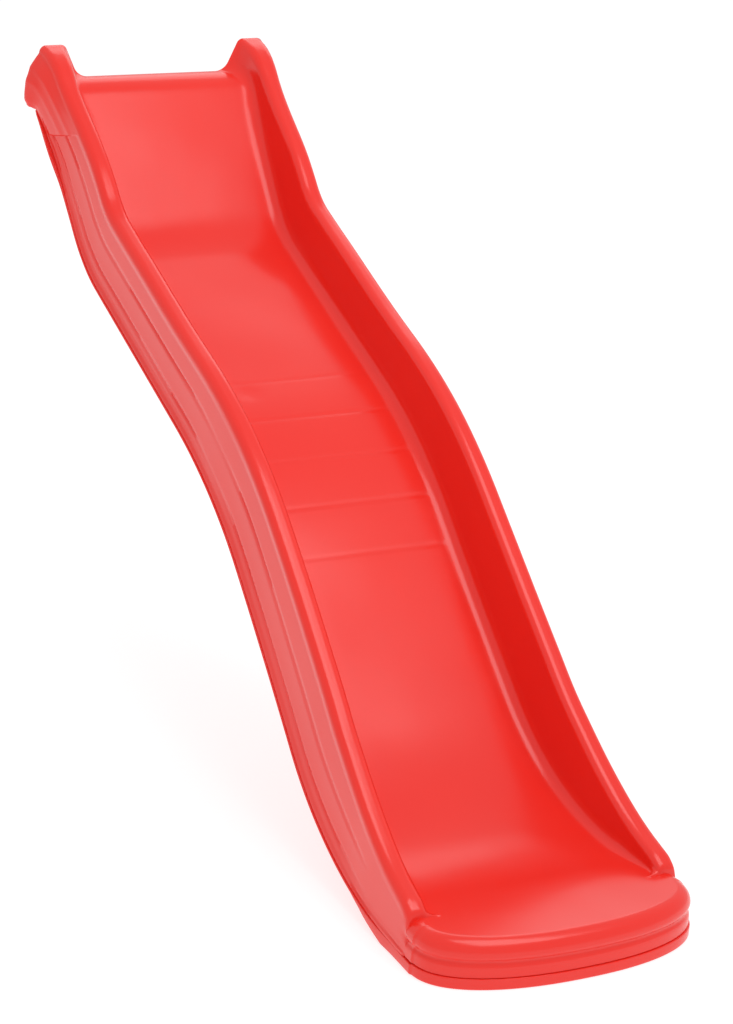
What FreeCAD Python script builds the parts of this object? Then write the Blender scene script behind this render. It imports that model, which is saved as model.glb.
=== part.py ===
"""Wave slide for a 1.2 m deck: a hollow twin-skin plastic moulding with its fixing inserts and plugs.

+X is across the slide, +Y points back to the deck and +Z is up. The origin is on the ground, under
the middle of the slide. The side view is one line of tangent straights and bends, the bed line, and
every cross-section stands square to it. Lengths are in mm and angles in degrees below the horizontal.
"""
import FreeCAD
import Part
import math
import os

Vector = FreeCAD.Vector
os.makedirs("parts", exist_ok=True)

# Overall sizes
deck_height = 1200.0     # bed at the deck lip, above the ground
exit_height = 92.0       # bed at the exit, above the ground
body_width = 500.0        # over the side walls at mid length
exit_width = 564.0        # over the side walls at the exit
exit_flare_length = 1000.0

# Bed line, from the deck lip to the exit
lip_flat = 12.0
lip_radius = 72.0
first_drop_angle = 50.0
first_drop_run = 290.0
trough_radius = 250.0
trough_angle = 22.0
trough_run = 444.0
crest_radius = 1070.0
second_drop_angle = 42.5
exit_bend_radius = 580.0
exit_flat = 60.0

# Skins
wall = 4.0
under_wall = 5.0
skin_gap = 0.3            # weld line between the two skins
body_depth = 60.0         # bed down to the bottom edge of the side walls

# Side rails: height above the bed, measured square to it
ear_height = 70.0
neck_height = 56.0        # just past the lip bend
first_drop_height = 106.0
trough_height = 111.0
crest_height = 125.0
second_drop_height = 133.0
exit_bend_height = 129.0
rail_end_height = 24.0
rim_width = 42.0
rim_radius = 16.0
cove_radius = 30.0        # bend between the bed and a rail
rail_lean = 5.0           # inner faces lean outwards

# Ears at the deck
ear_flare = 44.0
ear_flare_length = 300.0
ear_top_flare = 5.0
ear_cove_radius = 42.0
ear_lean = 25.0
ear_blend_length = 95.0

# Exit nose
nose_side_run = 38.0      # straight side of the nose, from the rail ends to its corners
nose_corner_radius = 125.0
nose_roll_radius = 28.0
lip_height = 22.0         # lower lip, part of the under skin
nose_groove = 4.0
lip_round = 8.0
bead = 3.0                # the under skin stands out past the walls by this much
foot_run = 60.0           # flat of the foot behind the nose
foot_slope_run = 95.0
deepening_length = 330.0  # the walls grow deeper over this length, up to the nose

# Cross ribs of the under skin, which reach up to the bed over the crest
rib_count = 5
rib_pitch = 112.0
rib_half_length = 150.0
rib_foot = 44.0
rib_head = 20.0

# Inserts and plugs
insert_radius = 7.0
insert_length = 24.0
insert_bore_radius = 4.0
insert_bore_depth = 20.0
boss_wall = 5.0
deck_insert_spacing = 100.0
deck_insert_drop = 30.0
ground_insert_spacing = 240.0
ground_insert_setback = 75.0
plug_stem_radius = 8.0
plug_head_radius = 12.0
plug_head = 2.5
plug_stem = 10.0
plug_clearance = 0.2


def sin(angle):
    return math.sin(math.radians(angle))


def cos(angle):
    return math.cos(math.radians(angle))


# ---------------------------------------------------------------- bed line

def bed_moves(second_drop_run):
    """The bed line as (name, length, radius, angle at the end); a straight has radius 0."""
    moves = [("lip", lip_flat, 0, 0)]
    moves.append(("lip bend", 0, lip_radius, first_drop_angle))
    moves.append(("first drop", first_drop_run, 0, first_drop_angle))
    moves.append(("trough bend", 0, trough_radius, trough_angle))
    moves.append(("trough", trough_run, 0, trough_angle))
    moves.append(("crest", 0, crest_radius, second_drop_angle))
    moves.append(("second drop", second_drop_run, 0, second_drop_angle))
    moves.append(("exit bend", 0, exit_bend_radius, 0))
    moves.append(("exit", exit_flat, 0, 0))
    return moves


def trace(moves):
    """Segments of the line, from (0, deck_height) towards -Y."""
    segments = []
    y, z, angle, travel = 0.0, deck_height, 0.0, 0.0
    for name, length, radius, end_angle in moves:
        turn = end_angle - angle
        if radius:
            length = radius * math.radians(abs(turn))
        segments.append(dict(name=name, start=travel, length=length, radius=radius,
                             y=y, z=z, angle=angle, turn=turn))
        if radius:
            side = 1 if turn > 0 else -1
            y -= side * radius * (sin(end_angle) - sin(angle))
            z -= side * radius * (cos(angle) - cos(end_angle))
        else:
            y -= length * cos(angle)
            z -= length * sin(angle)
        travel += length
        angle = end_angle
    return segments, y, z


def second_drop_run():
    """The length that brings the exit to exit_height."""
    _, _, z = trace(bed_moves(0.0))
    return (z - exit_height) / sin(second_drop_angle)


segments, axis_y, _ = trace(bed_moves(second_drop_run()))
mark = {segment["name"]: segment for segment in segments}
line_length = segments[-1]["start"] + segments[-1]["length"]
corner_y = axis_y - nose_side_run
front_y = corner_y - nose_corner_radius
shift_y = (bead - front_y) / 2.0
rear_y = shift_y
front_y += shift_y
corner_y += shift_y
axis_y += shift_y


def bed_at(travel):
    """(y, z, angle) of the bed line after a travel from the deck."""
    for segment in segments:
        if travel <= segment["start"] + segment["length"] + 1e-6:
            break
    along = travel - segment["start"]
    angle = segment["angle"]
    if segment["radius"]:
        side = 1 if segment["turn"] > 0 else -1
        end = angle + math.copysign(math.degrees(along / segment["radius"]), segment["turn"])
        y = segment["y"] - side * segment["radius"] * (sin(end) - sin(angle))
        z = segment["z"] - side * segment["radius"] * (cos(angle) - cos(end))
        return y + shift_y, z, end
    return segment["y"] - along * cos(angle) + shift_y, segment["z"] - along * sin(angle), angle


def place(travel, x, height):
    """The point at x and at a height above the bed line, square to it."""
    y, z, angle = bed_at(travel)
    return Vector(x, y - height * sin(angle), z + height * cos(angle))


def end_of(name):
    return mark[name]["start"] + mark[name]["length"]


def part_way(name, share):
    return mark[name]["start"] + share * mark[name]["length"]


def ease(stops, travel):
    """Smooth curve through (travel, value) stops."""
    if travel <= stops[0][0]:
        return stops[0][1]
    for i in range(len(stops) - 1):
        if travel <= stops[i + 1][0]:
            break
    else:
        return stops[-1][1]
    (a, va), (b, vb) = stops[i], stops[i + 1]
    slopes = []
    for j in (i, i + 1):
        low, high = stops[max(j - 1, 0)], stops[min(j + 1, len(stops) - 1)]
        slopes.append((high[1] - low[1]) / (high[0] - low[0]))
    t = (travel - a) / (b - a)
    span = b - a
    return ((2 * t**3 - 3 * t**2 + 1) * va + (t**3 - 2 * t**2 + t) * span * slopes[0]
            + (3 * t**2 - 2 * t**3) * vb + (t**3 - t**2) * span * slopes[1])


height_stops = [
    (0.0, ear_height),
    (end_of("lip bend"), neck_height),
    (part_way("first drop", 0.8), first_drop_height),
    (part_way("trough", 0.2), trough_height),
    (part_way("trough", 0.8), trough_height),
    (part_way("crest", 0.6), crest_height),
    (part_way("second drop", 0.5), second_drop_height),
    (part_way("exit bend", 0.25), exit_bend_height),
    (part_way("exit bend", 0.65), 0.75 * exit_bend_height),
    (line_length, rail_end_height),
]


def rail_height(travel):
    return ease(height_stops, travel)


def depth(travel):
    """Bed down to the bottom edge of the side walls."""
    grow = max(0.0, 1 - (line_length - travel) / deepening_length)
    return body_depth + (exit_height - lip_height - skin_gap - body_depth) * grow ** 1.5


def half_width(travel):
    """Outer face of the side walls, which flares towards the exit."""
    grow = max(0.0, 1 - (line_length - travel) / exit_flare_length)
    return (body_width + (exit_width - body_width) * grow ** 2) / 2


def stations():
    """Travels at which a cross-section is drawn: closer in the tight bends."""
    travels = [0.0]
    for segment in segments:
        step = 75.0
        if segment["radius"]:
            step = min(75.0, segment["radius"] * math.radians(9.0))
        count = max(1, math.ceil(segment["length"] / step))
        for i in range(1, count + 1):
            travels.append(segment["start"] + segment["length"] * i / count)
    return travels


# ---------------------------------------------------------------- cross-section

def section(travel):
    """Centres and directions of one rail's cross-section, right-hand side."""
    ear = max(0.0, 1 - travel / ear_flare_length) ** 4
    blend = max(0.0, 1 - travel / ear_blend_length) ** 2
    height = rail_height(travel)
    base = depth(travel)
    half = half_width(travel)
    out_low = half + ear_flare * ear
    out_top = half + ear_top_flare * ear
    lean_out = math.degrees(math.atan2(out_low - out_top, base + height))
    lean_in = rail_lean + (ear_lean - rail_lean) * blend
    cove = min(cove_radius + (ear_cove_radius - cove_radius) * blend, 0.62 * (height - rim_radius))
    inner_top = out_top - rim_width

    def outer_x(level):
        return out_top + (height - level) * math.tan(math.radians(lean_out))

    def inner_x(level):
        return inner_top - (height - level) * math.tan(math.radians(lean_in))

    touch = height - rim_radius + rim_radius * sin(lean_out)
    rim_out = (outer_x(touch) - rim_radius * cos(lean_out), height - rim_radius)
    touch = height - rim_radius + rim_radius * sin(lean_in)
    rim_in = (inner_x(touch) + rim_radius * cos(lean_in), height - rim_radius)
    touch = cove - cove * sin(lean_in)
    hollow = (inner_x(touch) - cove * cos(lean_in), cove)
    return dict(lean_out=lean_out, lean_in=lean_in, cove=cove, height=height, base=base,
                outer_x=outer_x, rim_out=rim_out, rim_in=rim_in, hollow=hollow)


def half_chain(shape, inset):
    """Points of the skin's face from the foot of the outer wall to the bed, inset into the skin.

    Each entry is (x, height) or, for a bend, (middle point, end point)."""
    a, b = shape["lean_out"], shape["lean_in"]
    rim = rim_radius - inset
    cove = shape["cove"] + inset
    (ox, oz), (ix, iz), (hx, hz) = shape["rim_out"], shape["rim_in"], shape["hollow"]

    def turn(cx, cz, radius, angle):
        return (cx + radius * cos(angle), cz + radius * sin(angle))

    foot = (shape["outer_x"](-shape["base"]) - inset / cos(a), -shape["base"])
    rim_a = turn(ox, oz, rim, a)
    rim_b = turn(ox, oz, rim, 90)
    rim_c = turn(ix, iz, rim, 90)
    rim_d = turn(ix, iz, rim, 180 - b)
    cove_a = turn(hx, hz, cove, -b)
    cove_b = turn(hx, hz, cove, -90)
    chain = [foot, rim_a]
    chain.append((turn(ox, oz, rim, (a + 90) / 2), rim_b))
    chain.append(rim_c)
    chain.append((turn(ix, iz, rim, (90 + 180 - b) / 2), rim_d))
    chain.append(cove_a)
    chain.append((turn(hx, hz, cove, (-b - 90) / 2), cove_b))
    return chain


def draw(travel, chain):
    """Edges along a chain, mirrored to the left side, from the right foot to the left foot."""
    edges = []
    here = chain[0]
    right = []
    for step in chain[1:]:
        if isinstance(step[0], tuple):
            right.append((here, step[0], step[1]))
            here = step[1]
        else:
            right.append((here, None, step))
            here = step
    left = []
    for start, middle, end in reversed(right):
        flip = [None if p is None else (-p[0], p[1]) for p in (end, middle, start)]
        left.append(tuple(flip))
    bed = (right[-1][2], None, left[0][0])
    for start, middle, end in right + [bed] + left:
        a = place(travel, *start)
        b = place(travel, *end)
        if middle is None:
            edges.append(Part.LineSegment(a, b).toShape())
        else:
            edges.append(Part.Arc(a, place(travel, *middle), b).toShape())
    return edges


def straight(travel, start, end):
    return Part.LineSegment(place(travel, *start), place(travel, *end)).toShape()


def closed(edges):
    return Part.Wire(Part.__sortEdges__(edges))


def skin_wire(travel):
    """The skin cut across: a thin band, open below."""
    shape = section(travel)
    outer = half_chain(shape, 0.0)
    inner = half_chain(shape, wall)
    (ox, oz), (ix, iz) = outer[0], inner[0]
    edges = draw(travel, outer)
    edges.append(straight(travel, (-ox, oz), (-ix, iz)))
    edges += reversed(draw(travel, inner))
    edges.append(straight(travel, (ix, iz), (ox, oz)))
    return closed(edges)


def full_wire(travel):
    """The whole cross-section, filled down to the foot of the walls, to half way into the skin."""
    chain = half_chain(section(travel), wall / 2)
    x, level = chain[0]
    edges = draw(travel, chain)
    edges.append(straight(travel, (-x, level), (x, level)))
    return closed(edges)


# ---------------------------------------------------------------- solids

def polygon(points):
    return Part.makePolygon(list(points) + [points[0]])


def prism(wire, direction):
    return Part.Face(wire).extrude(direction)


def cylinder(radius, length, start, direction):
    return Part.makeCylinder(radius, length, start, direction)


def nose_edges(corner_x, outline):
    """An outline of (reach, z) points, with (middle, end) pairs for bends, in the plane x = corner_x."""
    def spot(point):
        return Vector(corner_x, corner_y - point[0], point[1])

    edges = []
    here = outline[0]
    for step in outline[1:] + [outline[0]]:
        if isinstance(step[0], tuple):
            edges.append(Part.Arc(spot(here), spot(step[0]), spot(step[1])).toShape())
            here = step[1]
        else:
            edges.append(Part.LineSegment(spot(here), spot(step)).toShape())
            here = step
    return edges


def around_nose(outline):
    """Carries an outline straight across the front and round both corners."""
    corner_x = exit_width / 2 - nose_corner_radius
    middle = Part.Face(closed(nose_edges(-corner_x, outline))).extrude(Vector(2 * corner_x, 0, 0))
    solids = [middle]
    for side in (-1, 1):
        face = Part.Face(closed(nose_edges(side * corner_x, outline)))
        pivot = Vector(side * corner_x, corner_y, 0)
        solids.append(face.revolve(pivot, Vector(0, 0, 1), side * 90))
    solids.append(throat(outline, nose_side_run))
    return solids[0].fuse(solids[1:]).removeSplitter()


def bend(centre, radius, first, last):
    """A bend of an outline as (middle, end), about a centre."""
    def at(angle):
        return (centre[0] + radius * cos(angle), centre[1] + radius * sin(angle))

    return (at((first + last) / 2), at(last))


def upper_nose_outline(inset, low):
    reach = nose_corner_radius - inset
    roll = nose_roll_radius - inset
    centre = (nose_corner_radius - nose_roll_radius, exit_height - nose_roll_radius)
    shoulder = lip_height + skin_gap + 1.2 * nose_groove
    outline = [(0, low), (reach - nose_groove, low), (reach - nose_groove, shoulder)]
    outline.append((reach, shoulder + 1.6 * nose_groove))
    outline.append((reach, centre[1]))
    outline.append(bend(centre, roll, 0, 90))
    outline.append((0, exit_height - inset))
    return outline


def lower_lip_outline(inset, high):
    reach = nose_corner_radius + bead - inset
    round_off = lip_round - inset
    outline = [(0, inset), (reach - round_off, inset)]
    outline.append(bend((reach - round_off, inset + round_off), round_off, -90, 0))
    if inset:
        outline.append((reach, high))
    else:
        outline.append((reach, high - round_off))
        outline.append(bend((reach - round_off, high - round_off), round_off, 0, 90))
    outline.append((0, high))
    return outline


def throat(outline, length):
    """An outline on both sides of the nose, joined across the top and carried back to the deck."""
    corner_x = exit_width / 2 - nose_corner_radius
    half_outline = outline[1:-1]
    points = []
    edges = []

    def spot(point, side):
        return Vector(side * (corner_x + point[0]), corner_y, point[1])

    for side in (-1, 1):
        here = half_outline[0]
        for step in half_outline[1:]:
            if isinstance(step[0], tuple):
                edges.append(Part.Arc(spot(here, side), spot(step[0], side), spot(step[1], side)).toShape())
                here = step[1]
            else:
                edges.append(Part.LineSegment(spot(here, side), spot(step, side)).toShape())
                here = step
        points.append(here)
    top, low = points[0], half_outline[0]
    edges.append(Part.LineSegment(spot(top, -1), spot(top, 1)).toShape())
    edges.append(Part.LineSegment(spot(low, -1), spot(low, 1)).toShape())
    return Part.Face(closed(edges)).extrude(Vector(0, length, 0))


def make_upper_skin():
    """Bed, rails, ears, deck lip and the roll of the exit nose."""
    skin = Part.makeLoft([skin_wire(travel) for travel in stations()], True)
    rear_plate = Part.makeLoft([full_wire(0.0), full_wire(under_wall)], True, True)
    end_plate = Part.makeLoft([full_wire(line_length - wall), full_wire(line_length)], True, True)
    low = lip_height + skin_gap
    hollow = upper_nose_outline(wall, lip_height - 5)
    nose = around_nose(upper_nose_outline(0.0, low)).cut(around_nose(hollow))
    end_plate = end_plate.cut(throat(hollow, nose_side_run + 2 * wall))
    body = skin.fuse([rear_plate, end_plate, nose])
    for x in deck_insert_places():
        body = body.fuse(cylinder(insert_radius + boss_wall, insert_length,
                                  Vector(x, rear_y, deck_insert_z), Vector(0, -1, 0)))
    for x in deck_insert_places():
        body = body.cut(cylinder(insert_radius, insert_length,
                                 Vector(x, rear_y, deck_insert_z), Vector(0, -1, 0)))
    return body.removeSplitter()


def under_line(drop):
    """Points along the underside, at a drop below the foot of the side walls."""
    return [place(travel, 0, -depth(travel) - drop) for travel in stations()]


def smooth(points):
    curve = Part.BSplineCurve()
    curve.interpolate(points)
    return curve.toShape()


def plan_block(outset):
    """Everything inside the side walls' plan outline, from the deck to the nose corners."""
    right = []
    for travel in stations():
        shape = section(travel)
        y = place(travel, 0, -shape["base"]).y
        right.append(Vector(shape["outer_x"](-shape["base"]) + outset, y, -10))
    left = [Vector(-point.x, point.y, point.z) for point in right]
    edges = [smooth(right), smooth(left)]
    edges.append(Part.LineSegment(right[0], left[0]).toShape())
    edges.append(Part.LineSegment(right[-1], left[-1]).toShape())
    return Part.Face(closed(edges)).extrude(Vector(0, 0, deck_height))


def across(edges, half_length):
    """A side-view outline, drawn in the middle plane, made solid across the slide."""
    face = Part.Face(closed(edges))
    face.translate(Vector(-half_length, 0, 0))
    return face.extrude(Vector(2 * half_length, 0, 0))


def line(a, b):
    return Part.LineSegment(a, b).toShape()


def rib(travel, inset):
    """A cross rib, narrower at its head, standing on the under skin."""
    foot = -depth(travel) - skin_gap - (2 * under_wall if inset else under_wall / 2)
    head = -wall - skin_gap - inset
    half_length = rib_half_length - inset
    here = place(travel, 0, 0)
    _, _, angle = bed_at(travel)
    forward = Vector(0, -cos(angle), -sin(angle))
    upward = Vector(0, -sin(angle), cos(angle))
    corners = []
    for reach, level in ((-rib_foot / 2 + inset, foot), (-rib_head / 2 + inset, head),
                         (rib_head / 2 - inset, head), (rib_foot / 2 - inset, foot)):
        corners.append(here + forward * reach + upward * level)
    wire = polygon(corners)
    wire.translate(Vector(-half_length, 0, 0))
    return prism(wire, Vector(2 * half_length, 0, 0))


def rib_places():
    middle = part_way("crest", 0.5)
    return [middle + (i - (rib_count - 1) / 2) * rib_pitch for i in range(rib_count)]


def make_under_skin():
    """Underside panel, its cross ribs, and the foot with the lower lip of the nose."""
    top = under_line(skin_gap)
    bottom = under_line(skin_gap + under_wall)
    sheet = across([smooth(top), smooth(bottom), line(top[0], bottom[0]), line(top[-1], bottom[-1])],
                   exit_width)
    panel = sheet.common(plan_block(bead))
    foot_back = axis_y + foot_run
    slope_top = foot_back + foot_slope_run
    head = lip_height + 60
    outside = [Vector(0, axis_y, 0), Vector(0, foot_back, 0), Vector(0, slope_top, head),
               Vector(0, axis_y, head)]
    lean = wall / math.sin(math.atan2(head, foot_slope_run))
    shrink = wall / math.tan(math.atan2(head, foot_slope_run))
    inside = [Vector(0, axis_y - 1, wall), Vector(0, foot_back - lean + shrink, wall),
              Vector(0, slope_top - lean, head), Vector(0, axis_y - 1, head)]
    below = across([smooth(top), line(top[0], Vector(0, rear_y, -20)),
                    line(Vector(0, rear_y, -20), Vector(0, axis_y, -20)),
                    line(Vector(0, axis_y, -20), top[-1])], exit_width)
    foot = prism(shifted(outside), Vector(2 * exit_width, 0, 0)).common(below).common(plan_block(bead))
    foot_hollow = prism(shifted(inside), Vector(2 * exit_width, 0, 0)).common(plan_block(-wall))
    lip = around_nose(lower_lip_outline(0.0, lip_height))
    lip_hollow = around_nose(lower_lip_outline(wall, lip_height + 5))
    body = panel.fuse([foot, lip])
    for travel in rib_places():
        body = body.fuse(rib(travel, 0.0))
    body = body.cut(foot_hollow).cut(lip_hollow)
    for travel in rib_places():
        body = body.cut(rib(travel, under_wall - 1))
    for x, y in ground_insert_places():
        body = body.fuse(cylinder(insert_radius + boss_wall, insert_length,
                                  Vector(x, y, 0), Vector(0, 0, 1)))
    for x, y in ground_insert_places():
        body = body.cut(cylinder(insert_radius, insert_length, Vector(x, y, 0), Vector(0, 0, 1)))
    for start, outward in plug_places():
        body = body.cut(cylinder(plug_stem_radius + plug_clearance, 4 * under_wall,
                                 start + outward * under_wall, outward * -1))
    return body.removeSplitter()


def shifted(corners):
    wire = polygon(corners)
    wire.translate(Vector(-exit_width, 0, 0))
    return wire


deck_insert_z = deck_height - deck_insert_drop


def deck_insert_places():
    return [(i - 1.5) * deck_insert_spacing for i in range(4)]


def ground_insert_places():
    y = front_y + ground_insert_setback
    return [(side * ground_insert_spacing / 2, y) for side in (-1, 1)]


def plug_places():
    """Middle of each plug on the underside, and the way out of the moulding there."""
    places = []
    for name, share in (("first drop", 0.5), ("trough", 0.45), ("second drop", 0.72)):
        travel = part_way(name, share)
        _, _, angle = bed_at(travel)
        start = place(travel, 0, -depth(travel) - skin_gap - under_wall - plug_clearance)
        places.append((start, Vector(0, sin(angle), -cos(angle))))
    return places


def make_insert(start, inward):
    body = cylinder(insert_radius, insert_length, start, inward)
    return body.cut(cylinder(insert_bore_radius, insert_bore_depth, start, inward))


def make_plug(start, outward):
    head = cylinder(plug_head_radius, plug_head, start, outward)
    stem = cylinder(plug_stem_radius, plug_stem, start, outward * -1)
    return head.fuse(stem).removeSplitter()


def save(shape, name):
    shape.exportStep("parts/" + name + ".step")
    print(name, len(shape.Solids), shape.isValid(), round(shape.Volume / 1000, 1), "cm3")


save(make_upper_skin(), "upper_skin")
save(make_under_skin(), "under_skin")
for number, x in enumerate(deck_insert_places(), 1):
    insert = make_insert(Vector(x, rear_y, deck_insert_z), Vector(0, -1, 0))
    save(insert, "deck_insert_" + str(number))
for name, (x, y) in zip(("left", "right"), ground_insert_places()):
    save(make_insert(Vector(x, y, 0), Vector(0, 0, 1)), "ground_insert_" + name)
for name, (start, outward) in zip(("upper", "middle", "lower"), plug_places()):
    save(make_plug(start, outward), "blow_hole_plug_" + name)
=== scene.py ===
# %% [markdown]
# # A wave slide for a 1.2 m deck
# This lesson dresses a hollow red plastic slide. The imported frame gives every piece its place; the two
# skins are drawn again here as fine, smooth meshes, because a glossy surface shows every facet.

# %% Load the frame
import bpy
import math
import numpy as np
from mathutils import Matrix, Vector


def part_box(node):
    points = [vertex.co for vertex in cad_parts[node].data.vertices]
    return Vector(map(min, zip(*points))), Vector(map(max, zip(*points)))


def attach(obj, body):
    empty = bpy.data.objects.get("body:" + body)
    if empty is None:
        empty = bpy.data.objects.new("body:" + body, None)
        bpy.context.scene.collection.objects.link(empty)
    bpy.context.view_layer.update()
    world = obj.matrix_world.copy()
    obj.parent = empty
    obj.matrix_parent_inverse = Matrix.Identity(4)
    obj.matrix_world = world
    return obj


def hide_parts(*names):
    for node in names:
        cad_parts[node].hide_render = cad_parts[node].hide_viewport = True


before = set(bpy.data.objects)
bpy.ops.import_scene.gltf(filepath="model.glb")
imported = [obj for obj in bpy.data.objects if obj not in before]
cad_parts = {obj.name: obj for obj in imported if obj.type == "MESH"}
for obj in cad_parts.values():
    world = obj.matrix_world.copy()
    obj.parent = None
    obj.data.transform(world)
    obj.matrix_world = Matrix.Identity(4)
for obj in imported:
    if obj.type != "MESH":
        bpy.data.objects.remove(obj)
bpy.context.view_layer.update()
print("frame nodes:", sorted(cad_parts))

# %% [markdown]
# ## Sizes
# All lengths are in metres, the same as the frame. A blow-moulded slide is described by its side view
# (a lip, a drop, a trough, a crest, a second drop and a flat exit) and by one cross-section that
# changes slowly along it. Keeping these few sizes together makes every later cell short.

# %% Sizes of the slide
DECK_HEIGHT = 1.2
EXIT_HEIGHT = 0.092
BODY_WIDTH = 0.5
EXIT_WIDTH = 0.564
EXIT_FLARE_LENGTH = 1.0
BODY_DEPTH = 0.06
SKIN_GAP = 0.0003
LIP_HEIGHT = 0.022
RIM_WIDTH = 0.042
RIM_RADIUS = 0.016
COVE_RADIUS = 0.03
RAIL_LEAN = 5.0
NOSE_SIDE_RUN = 0.038
NOSE_REACH = 0.125
NOSE_POWER = 2.25
NOSE_ROLL = 0.028
# travel, how far the ear stands out there
EAR_FLARE = [(0.0, 0.044), (0.02, 0.0400), (0.075, 0.0262), (0.13, 0.0155), (0.20, 0.0070),
             (0.30, 0.0032), (0.42, 0.0)]
SECOND_DROP_ANGLE = 42.5
# name, length of a straight, radius of a bend, angle at its end
MOVES = [("lip", 0.012, 0, 0), ("lip bend", 0, 0.072, 50), ("first drop", 0.29, 0, 50),
         ("trough bend", 0, 0.25, 22), ("trough", 0.444, 0, 22), ("crest", 0, 1.07, 42.5),
         ("second drop", None, 0, 42.5), ("exit bend", 0, 0.58, 0), ("exit", 0.06, 0, 0)]


def sin(angle):
    return math.sin(math.radians(angle))


def cos(angle):
    return math.cos(math.radians(angle))


# %% [markdown]
# ## The bed line
# The side view is a chain of straights and bends that run into each other without a kink. It could be
# a Bezier curve, but straights and arcs keep their true radius, so a reflection flows down the bed as
# it does on the real moulding. `bed_at` walks along the chain and gives place and slope.

# %% Trace the bed line
def trace(second_drop):
    parts, y, z, angle, start = [], 0.0, DECK_HEIGHT, 0.0, 0.0
    for name, length, radius, end in MOVES:
        if length is None:
            length = second_drop
        if radius:
            length = radius * math.radians(abs(end - angle))
        parts.append((name, start, length, radius, y, z, angle, end))
        if radius:
            side = 1 if end > angle else -1
            y -= side * radius * (sin(end) - sin(angle))
            z -= side * radius * (cos(angle) - cos(end))
        else:
            y -= length * cos(angle)
            z -= length * sin(angle)
        start += length
        angle = end
    return parts, y, z, start


_, _, low_z, _ = trace(0.0)
parts, end_y, _, LINE_LENGTH = trace((low_z - EXIT_HEIGHT) / sin(SECOND_DROP_ANGLE))
REAR_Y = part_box("upper_skin")[1][1]
AXIS_Y = end_y + REAR_Y
CORNER_Y = AXIS_Y - NOSE_SIDE_RUN
SPAN = {part[0]: (part[1], part[2]) for part in parts}
print("slide length %.3f m, rear face at y %.4f" % (LINE_LENGTH, REAR_Y))


def bed_at(travel):
    for name, start, length, radius, y, z, angle, end in parts:
        if travel <= start + length + 1e-9:
            break
    along = travel - start
    if radius:
        side = 1 if end > angle else -1
        now = angle + side * math.degrees(along / radius)
        return (y - side * radius * (sin(now) - sin(angle)) + REAR_Y,
                z - side * radius * (cos(angle) - cos(now)), now)
    return y - along * cos(angle) + REAR_Y, z - along * sin(angle), angle


def place(travel, x, height):
    y, z, angle = bed_at(travel)
    return (x, y - height * sin(angle), z + height * cos(angle))


def part_way(name, share):
    return SPAN[name][0] + share * SPAN[name][1]


# %% [markdown]
# ## Sizes that change along the slide
# The rails are low behind the lip, high along the second drop and die away at the exit. A smooth curve
# through a few stops is easier to steer than a long list of sections, and it has no kink at a stop.

# %% Curves along the slide
def ease(stops, travel):
    if travel <= stops[0][0]:
        return stops[0][1]
    if travel >= stops[-1][0]:
        return stops[-1][1]
    for i in range(len(stops) - 1):
        if travel <= stops[i + 1][0]:
            break
    (a, va), (b, vb) = stops[i], stops[i + 1]
    slopes = []
    for j in (i, i + 1):
        low, high = stops[max(j - 1, 0)], stops[min(j + 1, len(stops) - 1)]
        slopes.append((high[1] - low[1]) / (high[0] - low[0]))
    t, span = (travel - a) / (b - a), b - a
    return ((2 * t**3 - 3 * t**2 + 1) * va + (t**3 - 2 * t**2 + t) * span * slopes[0]
            + (3 * t**2 - 2 * t**3) * vb + (t**3 - t**2) * span * slopes[1])


def step(low, high, value):
    """0 below low, 1 above high, smooth between."""
    t = min(1.0, max(0.0, (value - low) / (high - low)))
    return t * t * (3 - 2 * t)


RAIL_STOPS = [(0.0, 0.07), (part_way("lip bend", 1), 0.056), (part_way("first drop", 0.8), 0.106),
              (part_way("trough", 0.2), 0.111), (part_way("trough", 0.8), 0.111),
              (part_way("crest", 0.6), 0.125), (part_way("second drop", 0.5), 0.133),
              (part_way("exit bend", 0.25), 0.129), (part_way("exit bend", 0.65), 0.0968),
              (LINE_LENGTH, 0.024)]


def depth(travel):
    grow = max(0.0, 1 - (LINE_LENGTH - travel) / 0.33)
    return BODY_DEPTH + (EXIT_HEIGHT - LIP_HEIGHT - SKIN_GAP - BODY_DEPTH) * grow ** 1.5


def half_width(travel):
    grow = max(0.0, 1 - (LINE_LENGTH - travel) / EXIT_FLARE_LENGTH)
    return (BODY_WIDTH + (EXIT_WIDTH - BODY_WIDTH) * grow ** 2) / 2


# %% [markdown]
# ## The outer wall's pressed panel
# Below each ear the outer wall steps in and carries two long creases, which stiffen the thin skin. They
# could be a bump map, but they are deep enough to break the reflections, so they are real depth here:
# a function of where on the wall a point is, subtracted from the wall's face.

# %% Panel, creases and bottom flange of the outer wall
# share of the wall's height, share of the ear's flare
EAR_STOPS = [(0.0, 0.72), (0.1, 0.95), (0.2, 1.0), (0.4, 0.97), (0.6, 0.86), (0.8, 0.66), (1.0, 0.30)]


def crease(share, middle, width):
    return math.exp(-((share - middle) / width) ** 2)


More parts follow.
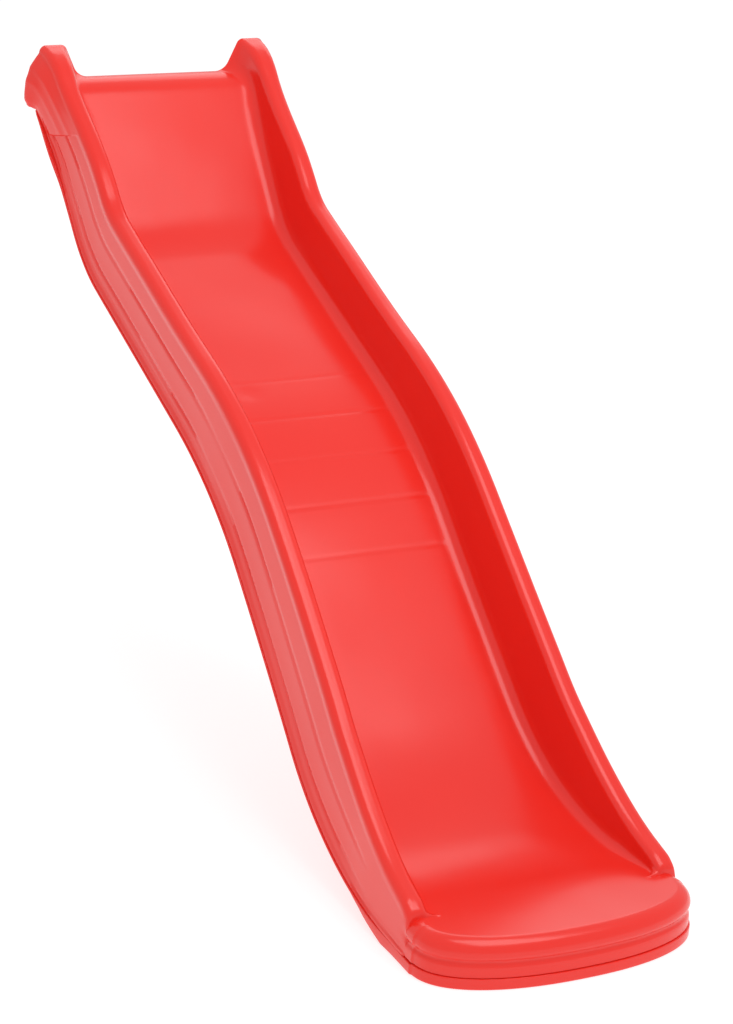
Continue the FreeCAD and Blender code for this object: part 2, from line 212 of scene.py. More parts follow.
def wall_offset(travel, share, wall_height):
    """How far the outer wall's face stands out; share is 0 at its foot and 1 at the rim."""
    below_ear = step(0.1995, 0.2035, travel)
    mellow = 1 - 0.75 * math.exp(-((travel - 1.10) / 0.085) ** 2)
    fade = (1 - step(1.93, 2.06, travel)) * mellow
    level = share * wall_height
    panel = step(0.010, 0.020, level) * (1 - step(wall_height - 0.012, wall_height - 0.002, level))
    low_line = 0.20 + 0.03 * math.sin(3 * travel)
    high_line = 0.60 + 0.03 * math.sin(2.3 * travel + 0.6)
    pressed = 0.0022 * panel * (0.25 + 0.75 * fade)
    pressed += 0.0026 * fade * crease(share, low_line, 0.022)
    pressed += 0.0026 * fade * crease(share, high_line, 0.022)
    between = (share - low_line) / (high_line - low_line)
    if 0 < between < 1:
        pressed += 0.0007 * fade * math.sin(math.pi * between)
    flange = 0.003 * (1 - step(0.004, 0.008, level))
    fold = 0.0011 * (1 - below_ear) * (crease(share, 0.5, 0.07) + crease(share, 0.75, 0.05))
    return flange - below_ear * pressed + fold


# %% [markdown]
# ## One cross-section
# A rail is a flat rim with a rounded edge on each side, an outer wall, an inner wall that leans out and
# a wide cove into the bed. Every section has the same number of points in the same order, so the
# sections can be joined as one clean grid of quads, which shades without a ripple.

# %% Points of the section, from the foot of the outer wall to the middle of the bed
OUTER, ARC, FLAT, INNER, COVE, BED = 34, 8, 4, 10, 10, 22


def arc(cx, cz, radius, first, last, count):
    return [(cx + radius * cos(first + (last - first) * i / count),
             cz + radius * sin(first + (last - first) * i / count)) for i in range(count)]


def run(a, b, count):
    return [(a[0] + (b[0] - a[0]) * i / count, a[1] + (b[1] - a[1]) * i / count) for i in range(count)]


EAR_EDGE = 0.201
EAR_EDGE_SLANT = 0.068


def slanted(travel, share):
    """The travel of a point of the outer wall: the sections lean beside the ear's lower edge."""
    near = step(0.06, EAR_EDGE, travel) * (1 - step(EAR_EDGE, 0.36, travel))
    return travel - EAR_EDGE_SLANT * (1 - share) * near


def outer_point(travel, share):
    there = slanted(travel, share)
    wall_height = depth(there) + ease(RAIL_STOPS, there) - RIM_RADIUS
    x = half_width(there) + ease(EAR_FLARE, there) * ease(EAR_STOPS, share)
    return (there, x + wall_offset(travel, share, wall_height), -depth(there) + share * wall_height)


EAR_BLEND, EAR_LEAN, EAR_COVE, EAR_RIM_EXTRA = 0.095, 25, 0.042, 0.016


def rail_section(travel):
    blend = max(0.0, 1 - travel / EAR_BLEND) ** 2
    height = ease(RAIL_STOPS, travel)
    rim_x = half_width(travel) + ease(EAR_FLARE, travel) * EAR_STOPS[-1][1]
    lean = RAIL_LEAN + (EAR_LEAN - RAIL_LEAN) * blend
    cove = min(COVE_RADIUS + (EAR_COVE - COVE_RADIUS) * blend, 0.62 * (height - RIM_RADIUS))
    inner_top = rim_x - RIM_WIDTH - EAR_RIM_EXTRA * blend

    def inner_x(level):
        return inner_top - (height - level) * math.tan(math.radians(lean))

    points = [outer_point(travel, i / OUTER) for i in range(OUTER)]
    rest = arc(rim_x - RIM_RADIUS, height - RIM_RADIUS, RIM_RADIUS, 0, 90, ARC)
    touch = height - RIM_RADIUS + RIM_RADIUS * sin(lean)
    rim_in = (inner_x(touch) + RIM_RADIUS * cos(lean), height - RIM_RADIUS)
    rest += run((rim_x - RIM_RADIUS, height), (rim_in[0], height), FLAT)
    rest += arc(rim_in[0], rim_in[1], RIM_RADIUS, 90, 180 - lean, ARC)
    touch = cove - cove * sin(lean)
    hollow = (inner_x(touch) - cove * cos(lean), cove)
    start = (rim_in[0] - RIM_RADIUS * cos(lean), rim_in[1] + RIM_RADIUS * sin(lean))
    rest += run(start, (hollow[0] + cove * cos(lean), cove - cove * sin(lean)), INNER)
    rest += arc(hollow[0], hollow[1], cove, -lean, -90, COVE)
    rest += run((hollow[0], 0), (0, 0), BED) + [(0.0, 0.0)]
    return points + [(travel, x, level) for x, level in rest]


print("points across the slide:", 2 * len(rail_section(0.5)) - 1)

# %% [markdown]
# ## The rolled edge of the exit
# At the exit the rails end in a rounded stub and the bed rolls over the front and round both corners.
# The same grid carries on: a second kind of section, with no rail but a rolled edge, takes over from
# the rail section within a few centimetres. Merging them by points keeps one watertight skin, where a
# boolean would leave a hard seam.

# %% Section with the rolled edge, and the blend into it
NOSE_INSET = 0.075
VALLEY_DEPTH, VALLEY_LEVEL, VALLEY_WIDTH = 0.0045, 0.052, 0.0065
STUB_START, STUB_LENGTH, STUB_POWER = LINE_LENGTH - 0.022, 0.034, 2.4


def rolled_profile(inset_count):
    """(reach, level) of the rolled edge: up the face, past its valley, round the roll and in."""
    foot = LIP_HEIGHT + SKIN_GAP
    roll_z = EXIT_HEIGHT - NOSE_ROLL
    face = [(-0.0015, foot), (0.0, foot + 0.0015)]
    for level in np.linspace(foot + 0.003, roll_z, 16):
        valley = VALLEY_DEPTH * math.exp(-((level - VALLEY_LEVEL) / VALLEY_WIDTH) ** 2)
        face.append((-valley, level))
    turn = [(-NOSE_ROLL + NOSE_ROLL * cos(a), roll_z + NOSE_ROLL * sin(a))
            for a in np.linspace(0, 90, 25)[1:]]
    flat = [(-NOSE_ROLL - (NOSE_INSET - NOSE_ROLL) * (i + 1) / inset_count, EXIT_HEIGHT)
            for i in range(inset_count)]
    return face + turn + flat


def spread(points, count):
    """The same line with count points spread evenly along it."""
    line = np.array(points)
    run_length = np.concatenate([[0], np.cumsum(np.linalg.norm(np.diff(line, axis=0), axis=1))])
    want = np.linspace(0, run_length[-1], count)
    return np.stack([np.interp(want, run_length, line[:, axis]) for axis in (0, 1)], 1)


SIDE_POINTS = OUTER + 2 * ARC + FLAT + INNER + COVE
ROLLED = spread(rolled_profile(6), SIDE_POINTS + 1)


def rolled_section(travel):
    half = half_width(travel)
    points = [(travel, half + reach, level - EXIT_HEIGHT) for reach, level in ROLLED]
    return points[:-1] + [(travel, x, level) for x, level in run(points[-1][1:], (0.0, 0.0), BED)
                          ] + [(travel, 0.0, 0.0)]


def exit_share(travel):
    """0 on the rail, 1 on the rolled edge, with the rounded end of a stub between."""
    reach = min(1.0, max(0.0, (travel - STUB_START) / STUB_LENGTH))
    return 1 - (1 - reach ** STUB_POWER) ** (1 / STUB_POWER)


def section(travel):
    share = exit_share(travel)
    if share == 0:
        return rail_section(travel)
    if share == 1:
        return rolled_section(travel)
    rail, rolled = rail_section(travel), rolled_section(travel)
    return [tuple(p + (q - p) * share for p, q in zip(a, b)) for a, b in zip(rail, rolled)]


# %% [markdown]
# ## Where to cut the sections
# Long straights need few sections, while the ear's edge, the rib marks and the rail's stub need many.
# Choosing the cuts puts the faces where the shape changes, and keeps the mesh light.

# %% Cuts along the slide
RIB_COUNT, RIB_PITCH = 5, 0.112
RIB_MARKS = [part_way("crest", 0.5) + (i - (RIB_COUNT - 1) / 2) * RIB_PITCH for i in range(RIB_COUNT)]


def cuts():
    marks = set(np.round(np.arange(0.012, LINE_LENGTH - 0.03, 0.009), 4))
    marks |= set(np.round(np.arange(0.1, 0.3, 0.004), 4))
    marks |= set(np.round(np.arange(0.196, 0.207, 0.001), 4))
    for rib in RIB_MARKS:
        marks |= set(np.round(np.arange(rib - 0.012, rib + 0.0121, 0.003), 4))
    turns = [STUB_START + STUB_LENGTH * sin(a) for a in np.linspace(0, 90, 15)]
    marks |= set(turns) | {LINE_LENGTH - 0.026, LINE_LENGTH + 0.0125, LINE_LENGTH + 0.020,
                           LINE_LENGTH + 0.029, LINE_LENGTH + NOSE_SIDE_RUN}
    spaced = []
    for mark in sorted(marks):
        if not spaced or mark - spaced[-1] > 0.0006:
            spaced.append(mark)
    return spaced


CUTS = cuts()
print("sections:", len(CUTS))

# %% [markdown]
# ## The bed's surface
# Five ribs of the under skin are pressed up against the bed over the crest. They show as faint dips
# across it, and a shallow dent lies beside the first one. The blown skin is also never quite even,
# so a slow swell of a few tenths of a millimetre bends its reflections.

# %% Dips, dent and swell of the bed
MARK_DEPTHS = [0.0003] + [0.0009] * (RIB_COUNT - 1)
MARK_WIDTH = 0.0055


def bed_dip(travel, x):
    """How far the bed lies below its line: rib marks, a dent and the slow swell of the skin."""
    dip = 0.0
    to_the_right = 0.65 + 0.35 * step(-0.1, 0.1, x)
    for rib, mark in zip(RIB_MARKS, MARK_DEPTHS):
        dip += mark * math.exp(-((travel - rib) / MARK_WIDTH) ** 2) * to_the_right
    dip *= 1 - step(0.15, 0.19, abs(x))
    along, across = (travel - part_way("crest", 0)) / 0.020, (x + 0.105) / 0.024
    dip += 0.0012 * math.exp(-along ** 2 - across ** 2)
    swell = 0.0004 * math.sin(21 * travel + 1.3) * math.cos(16 * x + 0.4)
    swell += 0.0003 * math.sin(9 * travel + 11 * x)
    swell *= step(0.03, 0.25, travel) * (1 - step(LINE_LENGTH - 0.25, LINE_LENGTH - 0.06, travel))
    return dip + swell * (1 - step(0.12, 0.2, abs(x)))


# %% [markdown]
# ## Joining the sections
# Each section becomes a closed loop: over one rail, across the bed, over the other rail and back
# underneath. The rear loop shrinks in a small quarter round, because a blown edge is never sharp. The
# bed's dips go in here, square to the bed, so they follow its slope.

# %% One closed loop
REAR_ROUND = 0.005
UNDERSIDE = 12


def loop_points(travel, section_points, inset=0.0):
    """A closed loop in space, shrunk square to its own line by an inset."""
    right = [list(p) for p in section_points]
    for p in right[SIDE_POINTS:]:
        p[2] -= bed_dip(travel, p[1])
    left = [[p[0], -p[1], p[2]] for p in reversed(right[:-1])]
    for p in left[:BED]:
        p[2] = -bed_dip(travel, p[1])
    line = np.array(right + left)
    if inset:
        before, after = np.roll(line, 1, axis=0), np.roll(line, -1, axis=0)
        before[0], after[-1] = line[0], line[-1]
        run_x, run_z = after[:, 1] - before[:, 1], after[:, 2] - before[:, 2]
        size = np.hypot(run_x, run_z)
        line[:, 1] -= inset * run_z / size
        line[:, 2] -= inset * -run_x / size
    foot_left, foot_right = line[-1], line[0]
    under = [foot_left + (foot_right - foot_left) * (i + 1) / (UNDERSIDE + 1) for i in range(UNDERSIDE)]
    return [place(t, x, level) for t, x, level in list(line) + under]


print("points in one loop:", len(loop_points(0.5, section(0.5))))

# %% [markdown]
# ## Round the nose
# Seen from above the exit's front is bowed: a half of a full ellipse, a little squarer than a true one.
# The same profile is carried along it square to the line, so the roll, the valley and the lip keep
# their size all the way round. The flat part inside the roll only has to close, so it simply moves in
# towards a smaller ellipse, where a true offset would cross itself at the sharp ends.

# %% Rows of points round the nose
def around_nose(profile):
    """The profile (reach, level) carried round the bowed nose, half of a full ellipse."""
    rows = []
    wide, deep = EXIT_WIDTH / 2, NOSE_REACH
    for angle in np.linspace(0, 180, 121):
        across, forward = cos(angle), sin(angle)
        along = wide * math.copysign(abs(across) ** (2 / NOSE_POWER), across)
        ahead = deep * max(0.0, forward) ** (2 / NOSE_POWER)
        out_x = math.copysign(abs(along / wide) ** (NOSE_POWER - 1), along) / wide
        out_y = (ahead / deep) ** (NOSE_POWER - 1) / deep
        size = math.hypot(out_x, out_y)
        out_x, out_y = out_x / size, out_y / size
        row = []
        for reach, level in profile:
            used = max(reach, -NOSE_ROLL)
            inward = (used - reach) / (NOSE_INSET - NOSE_ROLL)
            x, y = along + used * out_x, ahead + used * out_y
            x += inward * ((wide - NOSE_INSET) * cos(angle) - x)
            y += inward * ((deep - NOSE_INSET) * sin(angle) - y)
            row.append((x, CORNER_Y - y, level))
        rows.append(row)
    return rows


print("rows round the nose:", len(around_nose(rolled_profile(6))))

# %% [markdown]
# ## The upper skin as one mesh
# The loops are joined with quads from the rear face to the exit, and the rows round the nose close the
# front. Two flat faces close the exit's top and the underside. Small helpers make the mesh an object
# and cut the insert holes into its rear face.

# %% Build the upper skin
def build_upper_skin():
    verts, faces = [], []
    loops = []
    for angle in np.linspace(0, 90, 6)[:-1]:
        travel = REAR_ROUND * (1 - sin(angle))
        loops.append(loop_points(0.0, section(0.0), REAR_ROUND * (1 - sin(angle))))
        drop = REAR_ROUND * (1 - cos(angle))
        loops[-1] = [(x, REAR_Y - drop, z) for x, y, z in loops[-1]]
    loops.append([(x, REAR_Y - REAR_ROUND, z) for x, y, z in loop_points(0.0, section(0.0))])
    loops += [loop_points(travel, section(travel)) for travel in CUTS]
    size = len(loops[0])
    for loop in loops:
        verts += loop
    for i in range(len(loops) - 1):
        for j in range(size):
            a, b = i * size + j, i * size + (j + 1) % size
            faces.append((a, b, b + size, a + size))
    faces.append(tuple(range(size)))
    last = (len(loops) - 1) * size
    side = SIDE_POINTS + 1
    right = [last + k for k in range(side)]
    wide = 2 * (SIDE_POINTS + BED) + 1
    left = [last + wide - 1 - k for k in range(side)]
    rows = [right]
    for row in around_nose([tuple(p) for p in ROLLED])[1:-1]:
        rows.append(list(range(len(verts), len(verts) + side)))
        verts += row
    rows.append(left)
    for a, b in zip(rows, rows[1:]):
        for k in range(side - 1):
            faces.append((a[k + 1], a[k], b[k], b[k + 1]))
    bed_row = [last + k for k in range(side - 1, wide - side + 1)]
    faces.append(tuple(bed_row[1:-1] + [row[-1] for row in reversed(rows)]))
    under_row = [last + wide + k for k in range(UNDERSIDE)]
    faces.append(tuple([row[0] for row in rows] + under_row))
    return verts, faces


def new_piece(name, verts, faces, sharp=35):
    mesh = bpy.data.meshes.new(name)
    mesh.from_pydata(verts, [], faces)
    mesh.validate()
    mesh.update()
    piece = bpy.data.objects.new(name, mesh)
    bpy.context.scene.collection.objects.link(piece)
    mesh.shade_smooth()
    mesh.set_sharp_from_angle(angle=math.radians(sharp))
    return piece


def bore(piece, places, radius, length):
    """Cut round holes along Y into a piece's flat rear face, and shade that face flat."""
    verts, faces, count = [], [], 48
    for x, y, z in places:
        base = len(verts)
        for end in (y - length, y + length):
            verts += [(x + radius * cos(360 * i / count), end, z + radius * sin(360 * i / count))
                      for i in range(count)]
        near = [base + i for i in range(count)]
        far = [v + count for v in near]
        faces += [(near[i - 1], near[i], far[i], far[i - 1]) for i in list(range(1, count)) + [0]]
        faces += [tuple(reversed(near)), tuple(far)]
    cutter = new_piece("cutter", verts, faces)
    hole = piece.modifiers.new("holes", "BOOLEAN")
    hole.object, hole.operation, hole.solver = cutter, "DIFFERENCE", "EXACT"
    graph = bpy.context.evaluated_depsgraph_get()
    piece.data = bpy.data.meshes.new_from_object(piece.evaluated_get(graph))
    piece.modifiers.clear()
    for face in piece.data.polygons:
        face.use_smooth = abs(face.normal.y) < 0.9999 or face.center.y < REAR_Y - 0.0001
    bpy.data.objects.remove(cutter)


upper = new_piece("slide_upper_skin", *build_upper_skin())
INSERTS = [(x, REAR_Y, DECK_HEIGHT - 0.030) for x in (-0.15, -0.05, 0.05, 0.15)]
INSERT_HOLE, HOLE_DEPTH = 0.00702, 0.03
bore(upper, INSERTS, INSERT_HOLE, HOLE_DEPTH)
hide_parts("upper_skin")
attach(upper, "root")
print("upper skin: %d faces, box" % len(upper.data.polygons),
      [round(v, 3) for v in upper.dimensions])

# %% [markdown]
# ## The under skin
# The panel that closes the hollow body stands out a little past the walls as a flange. Five ribs are
# pressed up into it, and behind the nose it drops to the ground as a foot, then runs round the nose as
# its lower lip. Like the upper skin it is one grid of sections, so flange, foot and lip stay one piece.

# %% One loop of the under skin
FLANGE = 0.003
PANEL = 0.005
ACROSS = 72
EAR_TUCK = 0.013
RIB_HALF = 0.140
# place along Y and level of the foot's lower edge, from the ground up to the panel
FOOT_LINE = [(-0.752, 0.0), (-0.737, 0.0035), (-0.712, 0.0100), (-0.681, 0.0185), (-0.660, 0.0262),
             (-0.635, 0.0360), (-0.593, 0.0560), (-0.554, 0.0780), (-0.515, 0.1060), (-0.480, 0.1395)]


def rib_rise(travel, x):
    """How far a rib lifts the panel, almost up to the bed."""
    rise = 0.0
    for rib in RIB_MARKS:
        rise = max(rise, 1 - step(0.010, 0.022, abs(travel - rib)))
    return (BODY_DEPTH - 0.0046 - PANEL) * rise * (1 - step(RIB_HALF - 0.010, RIB_HALF + 0.010, abs(x)))


def foot_level(y):
    """The foot's lower edge, or a level above everything where there is no foot."""
    return 9.0 if y > FOOT_LINE[-1][0] else max(0.0, ease(FOOT_LINE, y))


def edge_profile(top, bottom):
    """(reach, level) down the flange's edge, from inside its top to inside its foot."""
    low_round = min(0.005, 0.45 * (top - bottom))
    points = [(-0.02, top), (-0.0015, top)]
    points += [(-0.0015 + 0.0015 * sin(a), top - 0.0015 + 0.0015 * cos(a)) for a in (30, 60, 90)]
    points += [(-low_round + low_round * cos(a), bottom + low_round - low_round * sin(a))
               for a in np.linspace(0, 90, 9)]
    return points + [(-0.03, bottom)]


def under_loop(travel):
    _, y_top, z_top = place(travel, 0, -depth(travel) - SKIN_GAP)
    _, y_low, z_low = place(travel, 0, -depth(travel) - SKIN_GAP - PANEL)
    dropped = foot_level(y_low) < z_low
    thick = z_top - foot_level(y_low) if dropped else PANEL
    x_foot = half_width(travel)
    behind_nose = 1 - step(LINE_LENGTH - 0.13, LINE_LENGTH - 0.03, travel)
    x_foot += (section(travel)[0][1] - x_foot) * behind_nose
    x_edge = x_foot + FLANGE - EAR_TUCK * (1 - step(0.02, 0.09, travel))

    def spot(x, drop):
        if dropped:
            share = drop / thick
            return (x, y_top + (y_low - y_top) * share, z_top - drop)
        return place(travel, x, -depth(travel) - SKIN_GAP - drop)

    side = [(x_edge + reach, -level) for reach, level in edge_profile(0.0, -thick)]
    bottom_x = np.linspace(side[-1][0], -side[-1][0], ACROSS + 2)[1:-1]
    top_x = np.linspace(-side[0][0], side[0][0], ACROSS + 2)[1:-1]
    loop = [spot(x, drop) for x, drop in side]
    loop += [spot(x, thick - (0.0 if dropped else rib_rise(travel, x))) for x in bottom_x]
    loop += [spot(-x, drop) for x, drop in reversed(side)]
    loop += [spot(x, 0.0 if dropped else -rib_rise(travel, x)) for x in top_x]
    return loop


def under_cuts():
    marks = set(np.round(np.arange(0.0, LINE_LENGTH, 0.012), 4))
    marks |= set(np.round(np.arange(0.0, 0.14, 0.004), 4))
    for rib in RIB_MARKS:
        marks |= set(np.round(np.arange(rib - 0.024, rib + 0.0241, 0.003), 4))
    marks |= set(np.round(np.arange(LINE_LENGTH - 0.17, LINE_LENGTH, 0.004), 4))
    marks |= {LINE_LENGTH, LINE_LENGTH + 0.5 * NOSE_SIDE_RUN, LINE_LENGTH + NOSE_SIDE_RUN}
    spaced = []
    for mark in sorted(marks):
        if not spaced or mark - spaced[-1] > 0.001:
            spaced.append(mark)
    return spaced


print("points in one under loop:", len(under_loop(0.5)))

# %% [markdown]
# ## The under skin as one mesh
# The loops are joined as before, and the flange's edge is carried round the nose as its lower lip. It is
# all one mesh, so no seam shows where the foot turns into the lip.

# %% Build the under skin
def build_under_skin():
    verts, faces = [], []
    loops = [under_loop(travel) for travel in under_cuts()]
    size = len(loops[0])
    for loop in loops:
        verts += loop
    for i in range(len(loops) - 1):
        for j in range(size):
            a, b = i * size + j, i * size + (j + 1) % size
            faces.append((b, a, a + size, b + size))
    faces.append(tuple(reversed(range(size))))
    last = (len(loops) - 1) * size
    profile = [(FLANGE + reach, level) for reach, level in edge_profile(LIP_HEIGHT, 0.0)]
    count = len(profile)
    right = [last + k for k in range(count)]
    left = [last + 2 * count + ACROSS - 1 - k for k in range(count)]
    rows = [right]
    for row in around_nose(profile)[1:-1]:
        rows.append(list(range(len(verts), len(verts) + count)))
        verts += row
    rows.append(left)
    for a, b in zip(rows, rows[1:]):
        for k in range(count - 1):
            faces.append((a[k], a[k + 1], b[k + 1], b[k]))
    bottom_row = [last + count + k for k in range(ACROSS)]
    faces.append(tuple(bottom_row + [row[-1] for row in reversed(rows)]))
    top_row = [last + 2 * count + ACROSS + k for k in range(ACROSS)]
    faces.append(tuple(top_row + [row[0] for row in rows]))
    return verts, faces


under = new_piece("slide_under_skin", *build_under_skin())
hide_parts("under_skin")
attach(under, "root")
print("under skin: %d faces, box" % len(under.data.polygons), [round(v, 3) for v in under.dimensions])

# %% [markdown]
# ## Red moulded plastic
# The plastic is coloured right through, so it has no paint edge: its looks come from gloss, from the
# slow unevenness of a blown skin, from a very fine orange peel and from light scuffs where people slide.
# One node group makes these values, and each material places it with its own colours.

# %% A node group for moulded plastic
def add(tree, kind, **values):
    node = tree.nodes.new(kind)
    for name, value in values.items():
        if hasattr(node, name):
            setattr(node, name, value)
        else:
            node.inputs[name.replace("_", " ")].default_value = value
    return node


def moulded_plastic_group():
    tree = bpy.data.node_groups.new("moulded_plastic", "ShaderNodeTree")
    sockets = (("Color", "NodeSocketColor"), ("Deep Color", "NodeSocketColor"),
               ("Gloss", "NodeSocketFloat"), ("Scuffs", "NodeSocketFloat"),
               ("Swell", "NodeSocketFloat"), ("Peel", "NodeSocketFloat"))
    for name, kind in sockets:
        tree.interface.new_socket(name, in_out="INPUT", socket_type=kind)
    for name, kind in (("Color", "NodeSocketColor"), ("Roughness", "NodeSocketFloat"),
                       ("Height", "NodeSocketFloat")):
        tree.interface.new_socket(name, in_out="OUTPUT", socket_type=kind)
    given = tree.nodes.new("NodeGroupInput")
    out = tree.nodes.new("NodeGroupOutput")
    where = tree.nodes.new("ShaderNodeTexCoord")
    link = tree.links.new

    def noise(scale, detail, stretch=(1, 1, 1)):
        turn = add(tree, "ShaderNodeMapping")
        turn.inputs["Scale"].default_value = stretch
        link(where.outputs["Object"], turn.inputs["Vector"])
        node = add(tree, "ShaderNodeTexNoise", Scale=scale, Detail=detail, Roughness=0.55)
        link(turn.outputs["Vector"], node.inputs["Vector"])
        return node.outputs["Fac"]

    def maths(operation, a, b, clamp=False):
        node = add(tree, "ShaderNodeMath", operation=operation, use_clamp=clamp)
        for socket, value in zip(node.inputs, (a, b)):
            if isinstance(value, (int, float)):
                socket.default_value = value
            else:
                link(value, socket)
        return node.outputs[0]

    cloud = noise(2.6, 3)
    mix = add(tree, "ShaderNodeMix", data_type="RGBA")
    link(maths("MULTIPLY", cloud, 0.55, True), mix.inputs["Factor"])
    link(given.outputs["Color"], mix.inputs["A"])
    link(given.outputs["Deep Color"], mix.inputs["B"])
    link(mix.outputs["Result"], out.inputs["Color"])
    streaks = maths("POWER", noise(48, 3, (1.0, 0.12, 0.16)), 3.0)
    worn = maths("MULTIPLY", maths("MULTIPLY", streaks, given.outputs["Scuffs"]), noise(1.7, 2))
    rough = maths("ADD", given.outputs["Gloss"], maths("MULTIPLY", noise(9, 4), 0.06))
    link(maths("ADD", rough, worn, True), out.inputs["Roughness"])
    swell = maths("MULTIPLY", noise(4.2, 1.5), given.outputs["Swell"])
    peel = maths("MULTIPLY", noise(420, 2), given.outputs["Peel"])
    link(maths("ADD", swell, peel), out.inputs["Height"])
    return tree


PLASTIC = moulded_plastic_group()


def plastic(name, color, deep, gloss, scuffs, swell, peel):
    material = bpy.data.materials.new(name)
    material.use_nodes = True
    tree = material.node_tree
    shader = tree.nodes["Principled BSDF"]
    group = add(tree, "ShaderNodeGroup")
    group.node_tree = PLASTIC
    group.inputs["Color"].default_value = (*color, 1)
    group.inputs["Deep Color"].default_value = (*deep, 1)
    for socket, value in (("Gloss", gloss), ("Scuffs", scuffs), ("Swell", swell), ("Peel", peel)):
        group.inputs[socket].default_value = value
    bump = add(tree, "ShaderNodeBump", Strength=1.0, Distance=0.001)
    tree.links.new(group.outputs["Color"], shader.inputs["Base Color"])
    tree.links.new(group.outputs["Roughness"], shader.inputs["Roughness"])
    tree.links.new(group.outputs["Height"], bump.inputs["Height"])
    tree.links.new(bump.outputs["Normal"], shader.inputs["Normal"])
    shader.inputs["Specular IOR Level"].default_value = 0.5
    shader.inputs["IOR"].default_value = 1.5
    return material


RED = plastic("red_slide_plastic", (0.88, 0.026, 0.014), (0.76, 0.014, 0.013),
              gloss=0.17, scuffs=0.10, swell=1.7, peel=0.008)
PLUG_RED = plastic("red_plug_plastic", (0.70, 0.012, 0.012), (0.58, 0.006, 0.010),
                   gloss=0.38, scuffs=0.3, swell=0.4, peel=0.05)

# %% [markdown]
# ## Brass inserts
# The inserts are turned from brass and pressed in, and only the mouths of those in the rear face show.
# One fine noise mottles tone, roughness and a slight bump together, as on metal that has been handled.

# %% Brass for the inserts
def brass():
    material = bpy.data.materials.new("turned_brass")
    material.use_nodes = True
    tree = material.node_tree
    shader = tree.nodes["Principled BSDF"]
    where = add(tree, "ShaderNodeTexCoord")
    grain = add(tree, "ShaderNodeTexNoise", Scale=700.0, Detail=3.0, Roughness=0.6)
    tone = add(tree, "ShaderNodeValToRGB")
    tone.color_ramp.elements[0].color = (0.42, 0.27, 0.09, 1)
    tone.color_ramp.elements[1].color = (0.80, 0.58, 0.26, 1)
    rough = add(tree, "ShaderNodeMapRange")
    rough.inputs["To Min"].default_value = 0.22
    rough.inputs["To Max"].default_value = 0.42
    bump = add(tree, "ShaderNodeBump", Strength=0.4, Distance=0.0002)
    link = tree.links.new
    link(where.outputs["Object"], grain.inputs["Vector"])
    link(grain.outputs["Fac"], tone.inputs["Fac"])
    link(tone.outputs["Color"], shader.inputs["Base Color"])
    link(grain.outputs["Fac"], rough.inputs["Value"])
    link(rough.outputs["Result"], shader.inputs["Roughness"])
    link(grain.outputs["Fac"], bump.inputs["Height"])
    link(bump.outputs["Normal"], shader.inputs["Normal"])
    shader.inputs["Metallic"].default_value = 1.0
    return material


BRASS = brass()
upper.data.materials.append(RED)
under.data.materials.append(RED)


def finish_node(name, material):
    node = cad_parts[name]
    for slot in node.material_slots:
        slot.material = material


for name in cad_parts:
    if "insert" in name:
        finish_node(name, BRASS)
    if "plug" in name:
        finish_node(name, PLUG_RED)
print("materials:", [material.name for material in (RED, PLUG_RED, BRASS)])

# %% [markdown]
# ## Floor
# A glossy body shows its surroundings, so the floor matters as much as the lights. It glows by itself:
# that keeps it white out to the horizon, while a darker base colour keeps the red light that bounces
# between floor and slide weak.

# %% Floor
def build_floor():
    size, count = 24.0, 8
    grid = np.linspace(-size, size, count + 1)
    verts = [(x, y, 0.0) for y in grid for x in grid]
    faces = []
    for j in range(count):
        for i in range(count):
            a = j * (count + 1) + i
            faces.append((a, a + 1, a + count + 2, a + count + 1))
    floor = new_piece("studio_floor", verts, faces)
    material = bpy.data.materials.new("pale_floor")
    material.use_nodes = True
    tree = material.node_tree
    shader = tree.nodes["Principled BSDF"]
    where = add(tree, "ShaderNodeTexCoord")
    grain = add(tree, "ShaderNodeTexNoise", Scale=1.3, Detail=3.0)
    tone = add(tree, "ShaderNodeValToRGB")
    tone.color_ramp.elements[0].color = (0.40, 0.40, 0.40, 1)
    tone.color_ramp.elements[1].color = (0.44, 0.44, 0.44, 1)
    tree.links.new(where.outputs["Object"], grain.inputs["Vector"])
    tree.links.new(grain.outputs["Fac"], tone.inputs["Fac"])
    tree.links.new(tone.outputs["Color"], shader.inputs["Base Color"])
    shader.inputs["Roughness"].default_value = 0.9
    shader.inputs["Specular IOR Level"].default_value = 0.1
    shader.inputs["Emission Color"].default_value = (1, 1, 1, 1)
    shader.inputs["Emission Strength"].default_value = 0.72
    floor.data.materials.append(material)
    return floor


floor = build_floor()
print("floor faces:", len(floor.data.polygons))

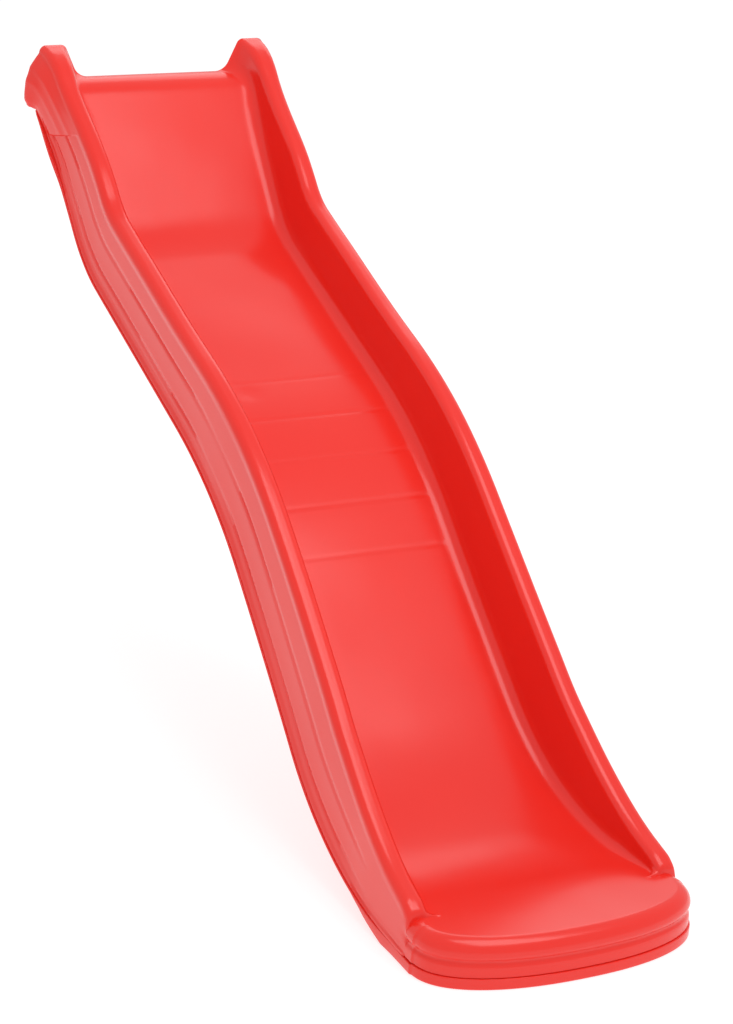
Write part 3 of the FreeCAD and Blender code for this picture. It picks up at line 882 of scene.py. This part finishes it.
# %% [markdown]
# ## Light
# A white sky gives the soft bright reflections. One large soft light above and in front brightens the
# bed, while the walls turned away stay deep red, and a weaker one behind lifts the ears off the
# background. Small lamps would give hard highlights that a white studio doesn't have.

# %% Light
scene = bpy.context.scene
scene.view_settings.view_transform = "Standard"
world = bpy.data.worlds.new("white_sky")
scene.world = world
world.use_nodes = True
sky = world.node_tree.nodes["Background"]
sky.inputs["Color"].default_value = (1.0, 1.0, 1.0, 1)
sky.inputs["Strength"].default_value = 0.72


def soft_light(name, where, target, size, power):
    lamp = bpy.data.lights.new(name, "AREA")
    lamp.shape = "RECTANGLE"
    lamp.size, lamp.size_y = size
    lamp.energy = power
    holder = bpy.data.objects.new(name, lamp)
    holder.location = where
    holder.rotation_euler = (Vector(target) - Vector(where)).to_track_quat("-Z", "Y").to_euler()
    scene.collection.objects.link(holder)
    return holder


soft_light("key_light", (0.5, -1.9, 4.4), (0, -0.1, 0.5), (3.0, 3.0), 75)
soft_light("back_light", (1.8, 3.2, 3.4), (0, 0.2, 0.7), (3.0, 2.0), 20)

# %% [markdown]
# ## Camera
# The camera stands in front, to the left and above, a good way off, so the rails stay nearly parallel.
# Its three axes are written out as numbers, because an aim at a target can't hold its roll as exactly.

# %% Camera
IMAGE_HEIGHT = 1024
FOCAL = 3124.7
camera_data = bpy.data.cameras.new("camera")
camera = bpy.data.objects.new("camera", camera_data)
scene.collection.objects.link(camera)
camera_data.sensor_fit = "VERTICAL"
camera_data.sensor_height = 36.0
camera_data.lens = FOCAL * camera_data.sensor_height / IMAGE_HEIGHT
camera_data.clip_start = 0.1
camera_data.clip_end = 200.0
right = Vector((0.88224891, -0.46630577, 0.06477495))
down = Vector((-0.10142875, -0.32262848, -0.94107549))
ahead = Vector((0.45972717, 0.82369278, -0.33193544))
turn = Matrix((right, -down, -ahead)).transposed().to_4x4()
camera.matrix_world = Matrix.Translation((-2.78974, -5.08896, 2.57915)) @ turn
scene.camera = camera
print("lens %.1f mm" % camera_data.lens)
